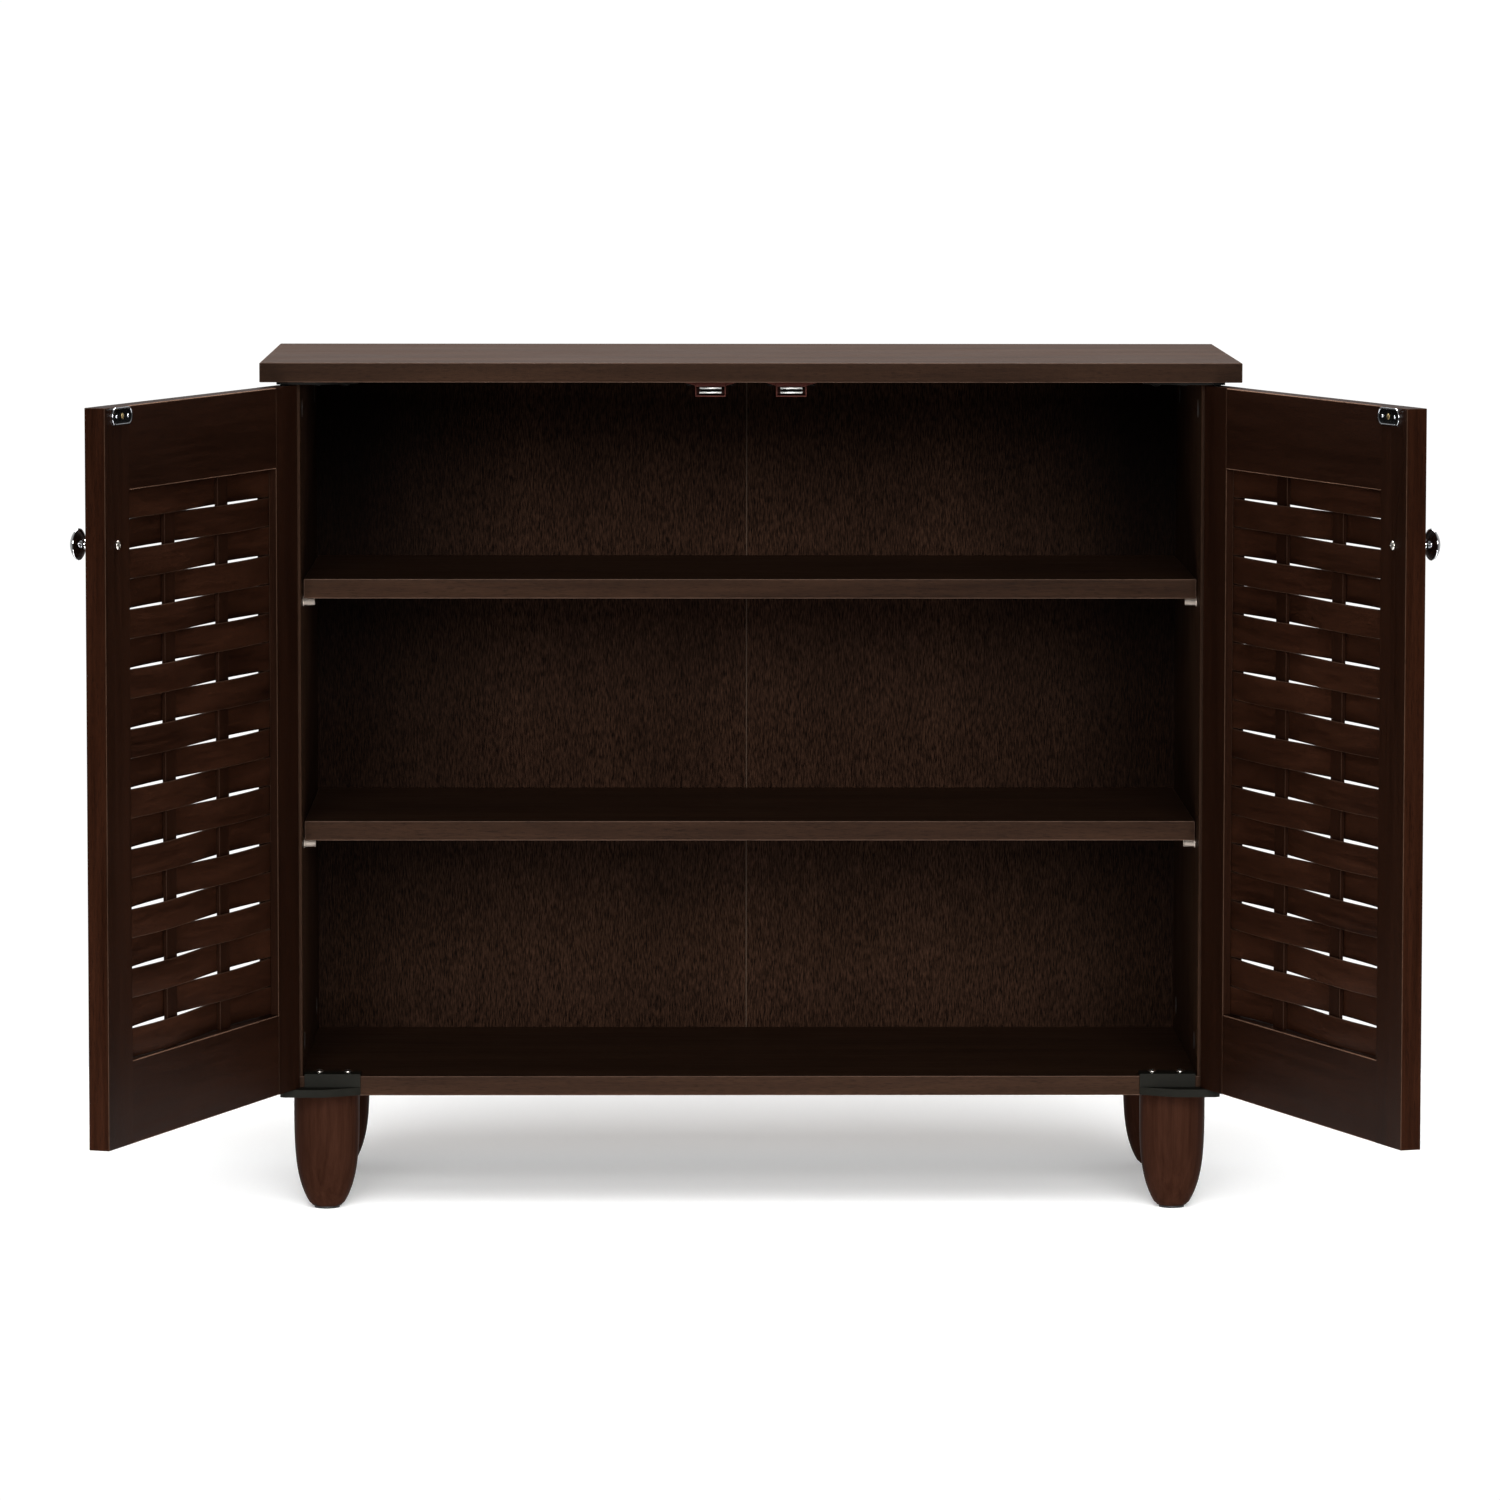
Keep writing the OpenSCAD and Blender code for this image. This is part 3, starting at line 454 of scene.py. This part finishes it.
for node in ("top_panel", "bottom_panel", "upper_shelf", "lower_shelf"):
    dress(node, board_x, board_arris_highlight, 0.7 * MM)
for node in ("left_side_panel", "right_side_panel"):
    dress(node, board_z, None, 0.7 * MM)
for node in ("left_back_panel", "right_back_panel"):
    dress(node, back_foil, None, 0.3 * MM)
dress("back_joint_strip", seam, None, 0.15 * MM)
for node in ("back_nails", "leg_bolts", "leg_inserts", "cam_locks"):
    dress(node, zinc, None, 0)
for node in ("cam_bolts", "pivot_pins"):
    dress(node, nickel, None, 0)
for node in ("upper_shelf_pins", "lower_shelf_pins"):
    dress(node, pin_nickel, None, 0)
dress("catch_pole_plates", pole_steel, None, 0.15 * MM, 5 * MM)
dress("catch_screws", shade_black_coat, None, 0)
# Screws high up take the near-black coat as painted shade; the lower ones stay nickel.
screws = dress("bracket_screws", nickel, shade_black_coat, 0)
for polygon in screws.data.polygons:
    polygon.material_index = int(polygon.center.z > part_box("upper_shelf")[1].z)
dress("panel_dowels", beech, None, 0)
dress("catch_magnets", magnet_black, None, 0.2 * MM, 5 * MM)
dress("leg_glides", black_plastic, None, 0)
for side in SIDES:
    # The top brackets take the near-black coat as painted shade; the bottom brackets keep their own coat.
    dress(f"{side}_top_bracket", shade_black_coat, None, 0.35 * MM, 1.5 * MM)
    dress(f"{side}_bottom_bracket", bracket_coat, None, 0.35 * MM, 1.5 * MM)


# ---------------------------------------------------------------- legs


def leg_material():
    """Red-brown lacquer over turned wood, thin at the top arris where the bare wood shows."""
    g = Graph("leg_lacquer", IOR=1.5, Specular_IOR_Level=0.004)
    coords = g.place()
    streak = g.noise(coords, (5 * MM, 5 * MM, 90 * MM), detail=4, roughness=0.6, distortion=0.5)
    fine = g.noise(coords, (0.9 * MM, 0.9 * MM, 14 * MM), detail=3)
    height = g.node("SeparateXYZ", Vector=coords).outputs["Z"]
    rings = g.noise(coords, (60 * MM, 60 * MM, 0.8 * MM), detail=2)
    tone = g.math("ADD", g.ramp(streak, 0.3, 0.7, 0.0, 0.7), g.ramp(fine, 0.3, 0.7, 0.0, 0.3))
    colour = g.mix(tone, LEG_DARK, LEG_LIGHT)
    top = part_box("front_left_leg")[1].z
    bare = g.ramp(height, top - 1.0 * MM, top - 0.4 * MM)
    colour = g.mix(bare, colour, rgb(0.22, 0.12, 0.065))
    g.set(Base_Color=colour, Roughness=g.ramp(streak, 0.3, 0.7, 0.3, 0.4),
          Normal=g.bump(g.math("ADD", rings, g.math("MULTIPLY", fine, 0.5)), 0.02 * MM, 0.6))
    return g.material


def leg_profile(foot, top, height):
    """Bullet shape with a rounded foot and a small chamfer under the cabinet."""
    steps = 40
    belly, taper = 4.2, 0.9
    round_r = 1.2 * MM
    points = [(0, 0)] + arc((foot - round_r, round_r), round_r, -90, -10, 4)
    for k in range(1, steps + 1):
        t = (k / steps) ** 1.6
        if t * height <= 2 * round_r or t * height >= height - 0.5 * MM:
            continue
        points.append((foot + (top - foot) * (1 - (1 - t) ** belly) ** taper, t * height))
    return points + [(top, height - 0.5 * MM), (top - 0.5 * MM, height), (0, height)]


FOOT_MARGIN = 2.2 * MM  # wood round the floor glide

lacquer = leg_material()
for row in ("front", "rear"):
    for side in SIDES:
        node = f"{row}_{side}_leg"
        low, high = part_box(node)
        glide_low, glide_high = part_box("leg_glides")
        outer = max(-glide_low.x, glide_high.x)
        foot_r = outer - abs(low.x + high.x) / 2 + FOOT_MARGIN
        bm = bmesh.new()
        profile = leg_profile(foot_r, (high.x - low.x) / 2, high.z - low.z)
        lathe(bm, profile, 96)
        place = Matrix.Translation(((low.x + high.x) / 2, (low.y + high.y) / 2, low.z))
        add_piece(f"{node}_turned", to_mesh(node, bm, place), "carcass", "leg_wood", lacquer,
                  replaces=(node,))


# ---------------------------------------------------------------- magnetic catches


def catch_housing(side, sign):
    """Moulded housing: a hollow box under wedge-shaped ears."""
    low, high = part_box(f"{side}_catch_housing")
    poles_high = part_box("catch_pole_plates")[1]
    box_half = (poles_high.x - (low.x + high.x) / 2 * sign) + 3.5 * MM
    middle = (low.x + high.x) / 2
    wall = 1.0 * MM
    ear_thick, ear_thin = 3.6 * MM, 0.9 * MM
    half = (high.x - low.x) / 2
    bm = bmesh.new()

    def slab(corners, y0, y1):
        loft(bm, [[(middle + x, y, z) for x, z in corners] for y in (y0, y1)])

    top, bottom = high.z, low.z
    mouth_top = poles_high.z + 0.5 * MM
    slab([(-box_half, bottom), (box_half, bottom), (box_half, bottom + wall),
          (-box_half, bottom + wall)], low.y, high.y)
    slab([(-box_half, mouth_top), (box_half, mouth_top), (box_half, top), (-box_half, top)],
         low.y, high.y)
    for edge in (-1, 1):
        x0, x1 = sorted((edge * box_half, edge * (box_half - wall)))
        slab([(x0, bottom + wall), (x1, bottom + wall), (x1, mouth_top), (x0, mouth_top)],
             low.y, high.y)
    slab([(-box_half + wall, bottom + wall), (box_half - wall, bottom + wall),
          (box_half - wall, mouth_top), (-box_half + wall, mouth_top)],
         poles_high.y + 0.3 * MM, high.y)
    ear_y1 = low.y + 14 * MM
    for edge in (-1, 1):
        corners = [(edge * box_half, top), (edge * box_half, top - ear_thick),
                   (edge * half, top - ear_thin), (edge * half, top)]
        slab(corners if edge < 0 else corners[::-1], low.y, ear_y1)
    mesh = to_mesh(f"{side}_catch", bm)
    piece = add_piece(f"{side}_catch_moulding", mesh, "carcass", "catch_plastic", catch_plastic,
                      replaces=(f"{side}_catch_housing",))
    bevel = piece.modifiers.new("Bevel", "BEVEL")
    bevel.width = 0.35 * MM
    bevel.segments = 3
    bevel.harden_normals = True


for side, sign in (("left", -1), ("right", 1)):
    catch_housing(side, sign)


# ---------------------------------------------------------------- doors

chrome = metal("polished_chrome", rgb(0.80, 0.80, 0.82), 0.07, blotch=0.025, bump=0.05)
plate_steel = metal("blued_steel", rgb(0.060, 0.070, 0.078), 0.26, bump=0.3)
plate_rim = metal("rubbed_steel", rgb(0.55, 0.57, 0.60), 0.2)
brass = metal("brass_screw", rgb(0.66, 0.50, 0.24), 0.28)


def door_material(name, axis, door, **changes):
    return wood(f"{door.side}_{name}", DOOR_DARK, DOOR_LIGHT, axis, door.turn, **changes)


def woven_slats(door, parity, row_numbers, material, edge_highlight_material):
    """Bent slats of one parity, each a rounded strip on a wave, set slightly out of true.

    They are a little thinner and taller than the CAD slats, so that less shows between them.
    """
    low, high = door.box(f"{parity}_slats")
    stile_edge = door.box("top_rail")[0].x
    free_edge = door.box("top_rail")[1].x
    open_w = free_edge - stile_edge
    other = door.box("even_slats" if parity == "odd" else "odd_slats")
    lowest, highest = min(low.z, other[0].z), max(high.z, other[1].z)
    pitch = (highest - lowest + CAD_SLAT_GAP) / ROWS
    slat_h = pitch - CAD_SLAT_GAP / 2
    thick = 2.1 * MM
    swing = ((high.y - low.y) - thick) / 2
    middle = (low.y + high.y) / 2
    side = -1 if parity == "odd" else 1
    chance = random.Random(f"{door.side}{parity}")
    steps = 56
    edge_face = 4 * MM * (high.x - low.x) / steps
    bm = bmesh.new()
    for row in row_numbers:
        centre = highest + CAD_SLAT_GAP / 2 - (row - 0.5) * pitch
        drop = chance.uniform(-0.12, 0.12) * MM
        tilt = chance.uniform(-0.15, 0.15) * MM
        cup = chance.uniform(0.0, 0.2) * MM
        height = slat_h - chance.uniform(0.0, 0.25) * MM
        outline = rounded_box(thick, height, 0.7 * MM)
        rings = []
        for k in range(steps + 1):
            x = low.x + (high.x - low.x) * k / steps
            phase = 2 * math.pi * (x - stile_edge) / open_w
            y = middle + side * swing * math.sin(phase)
            slope = side * swing * math.cos(phase) * 2 * math.pi / open_w
            across = Vector((-slope, 1.0, 0.0)).normalized()
            z = centre + drop + tilt * (2 * k / steps - 1)
            ring = []
            for n, h in outline:
                bow = cup * (2 * h / height) ** 2
                ring.append(Vector((x, y, z)) + across * (n - bow * side * math.sin(phase))
                            + Vector((0, 0, h)))
            rings.append(ring)
        loft(bm, rings)
    # The narrow rounded edge faces take the second material, a painted highlight colour.
    for face in bm.faces:
        face.material_index = 0 if face.calc_area() > edge_face else 1
    node = f"{door.side}_{parity}_slats"
    add_piece(f"{node}_woven", to_mesh(node, bm, door.matrix), door.body, "door_foil", material,
              edge_highlight_material, replaces=(node,))


def knob(door):
    """Mushroom knob: a flared foot, a thin neck and a domed cap with a coned underside."""
    low, high = door.box("knob")
    reach = high.y - low.y
    r = (high.x - low.x) / 2
    centre = Vector(((low.x + high.x) / 2, high.y, (low.z + high.z) / 2))
    rim = reach - 6.2 * MM
    under = rim - 4.6 * MM
    dome = reach - rim - 0.7 * MM
    sphere = (r * r + dome * dome) / (2 * dome)
    half_angle = math.degrees(math.asin(r * 0.965 / sphere))
    profile = [(0, 0), (6.6 * MM, 0), (7.0 * MM, 0.4 * MM), (7.0 * MM, 1.2 * MM), (6.6 * MM, 1.7 * MM)]
    profile += arc((6.6 * MM, 4.7 * MM), 3.0 * MM, 270, 195, 6)
    profile += [(3.7 * MM, 5.6 * MM), (3.7 * MM, under - 1.2 * MM), (4.3 * MM, under - 0.3 * MM),
                (5.4 * MM, under + 0.3 * MM)]
    profile += [(r * 0.72, under + 2.1 * MM), (r * 0.93, rim - 0.9 * MM), (r * 0.99, rim - 0.3 * MM),
                (r, rim), (r * 0.99, rim + 0.45 * MM)]
    dome_arc = arc((0, reach - sphere), sphere, 90 - half_angle, 90, 14)
    profile += dome_arc[:-1] + [(0, reach)]
    outward = Matrix.Translation(centre) @ Matrix.Rotation(math.radians(90), 4, "X")
    bm = bmesh.new()
    lathe(bm, profile, 64, outward)
    node = f"{door.side}_knob"
    add_piece(f"{node}_turned", to_mesh(node, bm, door.matrix), door.body, "chrome", chrome,
              replaces=(node,), crease=50)


def strike_plate(door):
    """Stadium plate with a dished face, a rubbed rim and two small nibs."""
    low, high = door.box("strike_plate")
    centre = Vector(((low.x + high.x) / 2, low.y, (low.z + high.z) / 2))
    width, height = high.x - low.x, high.z - low.z
    nib = 0.5 * MM
    thick = high.y - low.y - nib
    facing = Matrix.Translation(centre) @ Matrix.Rotation(math.radians(-90), 4, "X")

    def ring(inset, level):
        points = rounded_box(width - 2 * inset, height - 2 * inset, height / 2 - inset - 0.01 * MM, 12)
        return [facing @ Vector((x, y, level)) for x, y in points]

    bm = bmesh.new()
    rings = [ring(0.0, 0.0), ring(0.0, thick - 0.35 * MM), ring(0.12 * MM, thick - 0.1 * MM),
             ring(0.35 * MM, thick), ring(0.9 * MM, thick), ring(1.35 * MM, thick - 0.35 * MM),
             ring(2.2 * MM, thick - 0.45 * MM)]
    loft(bm, rings)
    bm.faces.ensure_lookup_table()
    rim_faces = 5 * len(rings[0])
    for index, face in enumerate(bm.faces):
        face.material_index = 1 if index < rim_faces else 0
    nib_r = 1.3 * MM
    nib_profile = [(nib_r, 0)] + [(nib_r * math.cos(a), nib_r * 0.85 * math.sin(a))
                                  for a in (0.35, 0.75, 1.15)] + [(0, nib_r * 0.85)]
    for end in (-1, 1):
        seat = facing @ Matrix.Translation((end * (width / 2 - height / 2 - MM), 0, 0))
        lift = Matrix.Translation((0, 0, thick + nib - nib_r * 0.85))
        before = len(bm.faces)
        lathe(bm, [(0, 0)] + nib_profile, 20, seat @ lift)
        bm.faces.ensure_lookup_table()
        for face in bm.faces[before:]:
            face.material_index = 1
    node = f"{door.side}_strike_plate"
    add_piece(f"{node}_pressed", to_mesh(node, bm, door.matrix), door.body, "dark_steel",
              plate_steel, plate_rim, replaces=(node,), crease=25)


for side, door in DOORS.items():
    upright = door_material("door_upright", "z", door)
    across = door_material("door_across", "x", door)
    slat_wood = wood(f"{side}_door_slat", SLAT_DARK, SLAT_LIGHT, "x", door.turn, figure=1.2, emboss=0.7)
    # Painted highlight: lighter copies of the door wood for light lines along stile, rail, post and slat
    # arrises.
    arris_highlight_wood = wood(f"{side}_door_arris_highlight", ARRIS_DARK, ARRIS_LIGHT, "z", door.turn, 0.2, 0.34)
    slat_arris_highlight = wood(f"{side}_slat_arris_highlight", SLAT_ARRIS_DARK, SLAT_ARRIS_LIGHT, "x", door.turn, 0.2, 0.34)
    rail_arris_highlight = wood(f"{side}_rail_arris_highlight", RAIL_ARRIS_DARK, RAIL_ARRIS_LIGHT, "x", door.turn, 0.2, 0.34)
    edge_wood = wood(f"{side}_door_edge", EDGE_DARK, EDGE_LIGHT, "z", door.turn, 0.7, figure=1.2)
    rails_start, rails_end = (corner.x for corner in door.box("top_rail"))
    at_free_edge = door.between(door.box("free_stile")[1].x - 0.05 * MM)
    dress(f"{side}_hinge_stile", upright, arris_highlight_wood, 0.5 * MM, where=door.between(rails_start - MM))
    free_stile = dress(f"{side}_free_stile", upright, arris_highlight_wood, 0.5 * MM,
                       where=door.between(rails_end + MM))
    free_stile.data.materials.append(edge_wood)
    for polygon in free_stile.data.polygons:
        if at_free_edge(polygon.center):
            polygon.material_index = 2
    # The rail arrises along the opening get the lightest tone, a painted highlight line.
    for node in ("top_rail", "bottom_rail"):
        dress(f"{side}_{node}", across, rail_arris_highlight, 0.7 * MM,
              where=door.between(rails_start + MM, rails_end - MM))
    dress(f"{side}_lattice_posts", upright, slat_arris_highlight, 0.35 * MM)
    dress(f"{side}_rail_dowels", beech, None, 0)
    dress(f"{side}_pivot_bushes", black_plastic, None, 0)
    dress(f"{side}_knob_screw", nickel, None, 0)
    dress(f"{side}_strike_screw", brass, None, 0)
    woven_slats(door, "odd", range(1, ROWS + 1, 2), slat_wood, slat_arris_highlight)
    woven_slats(door, "even", range(2, ROWS + 1, 2), slat_wood, slat_arris_highlight)
    knob(door)
    strike_plate(door)


# ---------------------------------------------------------------- stage, light and camera


def build_floor():
    """Plain pale floor, a disc that reaches well past the open doors."""
    g = Graph("pale_floor", Base_Color=rgb(0.92, 0.92, 0.92), Roughness=0.9, Specular_IOR_Level=0.0,
              Emission_Color=rgb(1.0, 1.0, 1.0), Emission_Strength=0.24)
    bm = bmesh.new()
    bmesh.ops.create_circle(bm, cap_ends=True, segments=96, radius=1.1)
    floor = bpy.data.objects.new("floor", to_mesh("floor", bm))
    floor.data.materials.append(g.material)
    bpy.context.scene.collection.objects.link(floor)


def build_world():
    """White backdrop for the camera; for the object, a room that is dim in front and pale behind."""
    world = bpy.data.worlds.new("studio")
    world.use_nodes = True
    tree = world.node_tree
    background = tree.nodes["Background"]
    coords = tree.nodes.new("ShaderNodeTexCoord")
    split = tree.nodes.new("ShaderNodeSeparateXYZ")
    front_to_back = tree.nodes.new("ShaderNodeMapRange")
    front_to_back.inputs["From Min"].default_value = -0.6
    front_to_back.inputs["From Max"].default_value = 0.5
    front_to_back.inputs["To Min"].default_value = 0.04
    front_to_back.inputs["To Max"].default_value = 0.45
    tree.links.new(coords.outputs["Generated"], split.inputs["Vector"])
    tree.links.new(split.outputs["Y"], front_to_back.inputs["Value"])
    tree.links.new(front_to_back.outputs["Result"], background.inputs["Strength"])
    background.inputs["Color"].default_value = (1.0, 1.0, 1.0, 1.0)
    backdrop = tree.nodes.new("ShaderNodeBackground")
    backdrop.inputs["Color"].default_value = (1.0, 1.0, 1.0, 1.0)
    backdrop.inputs["Strength"].default_value = 1.05
    choice = tree.nodes.new("ShaderNodeMixShader")
    path = tree.nodes.new("ShaderNodeLightPath")
    tree.links.new(path.outputs["Is Camera Ray"], choice.inputs["Fac"])
    tree.links.new(background.outputs["Background"], choice.inputs[1])
    tree.links.new(backdrop.outputs["Background"], choice.inputs[2])
    tree.links.new(choice.outputs["Shader"], tree.nodes["World Output"].inputs["Surface"])
    bpy.context.scene.world = world


def area_light(name, place, aim, size, power, lights_floor=True, lights_cabinet=True):
    """Rectangular soft light, of a size in metres and a power in watts, aimed at a point."""
    light = bpy.data.lights.new(name, "AREA")
    light.shape = "RECTANGLE"
    light.size, light.size_y = size
    light.energy = power
    lamp = bpy.data.objects.new(name, light)
    lamp.location = place
    lamp.rotation_euler = (Vector(aim) - Vector(place)).to_track_quat("-Z", "Y").to_euler()
    bpy.context.scene.collection.objects.link(lamp)
    if not (lights_floor and lights_cabinet):
        receivers = bpy.data.collections.new(name + "_receivers")
        receivers.objects.link(bpy.data.objects["floor"])
        if not lights_floor:
            receivers.collection_objects[0].light_linking.link_state = "EXCLUDE"
        lamp.light_linking.receiver_collection = receivers


def build_camera():
    """Long lens from the front, a little above the top and a little left of the middle."""
    camera = bpy.data.cameras.new("camera")
    camera.sensor_width = 36.0
    camera.lens = 190.84
    camera.clip_end = 200.0
    holder = bpy.data.objects.new("camera", camera)
    holder.location = (-0.07407, -6.47297, 0.99954)
    pitch, yaw, roll = (math.radians(angle) for angle in (5.42, 0.65, 0.06))
    aim = Matrix.Rotation(-yaw, 4, "Z") @ Matrix.Rotation(math.pi / 2 - pitch, 4, "X")
    holder.rotation_euler = (aim @ Matrix.Rotation(roll, 4, "Z")).to_euler()
    bpy.context.scene.collection.objects.link(holder)
    bpy.context.scene.camera = holder


build_floor()
build_world()
area_light("front_softbox", (0.0, -7.6, 2.7), (0, 0, 0.3), (5.0, 2.6), 690)
area_light("low_strip", (0, -0.95, 0.09), (0, 0, 0.2), (1.2, 0.12), 4)
area_light("overhead_softbox", (0, 1.2, 3.2), (0, 0.5, 0.5), (1.8, 2.2), 340, lights_floor=False)
area_light("floor_softbox", (0, -1.7, 3.0), (0, 0, 0), (3.4, 3.6), 225, lights_cabinet=False)
build_camera()
bpy.context.scene.view_settings.view_transform = "Standard"
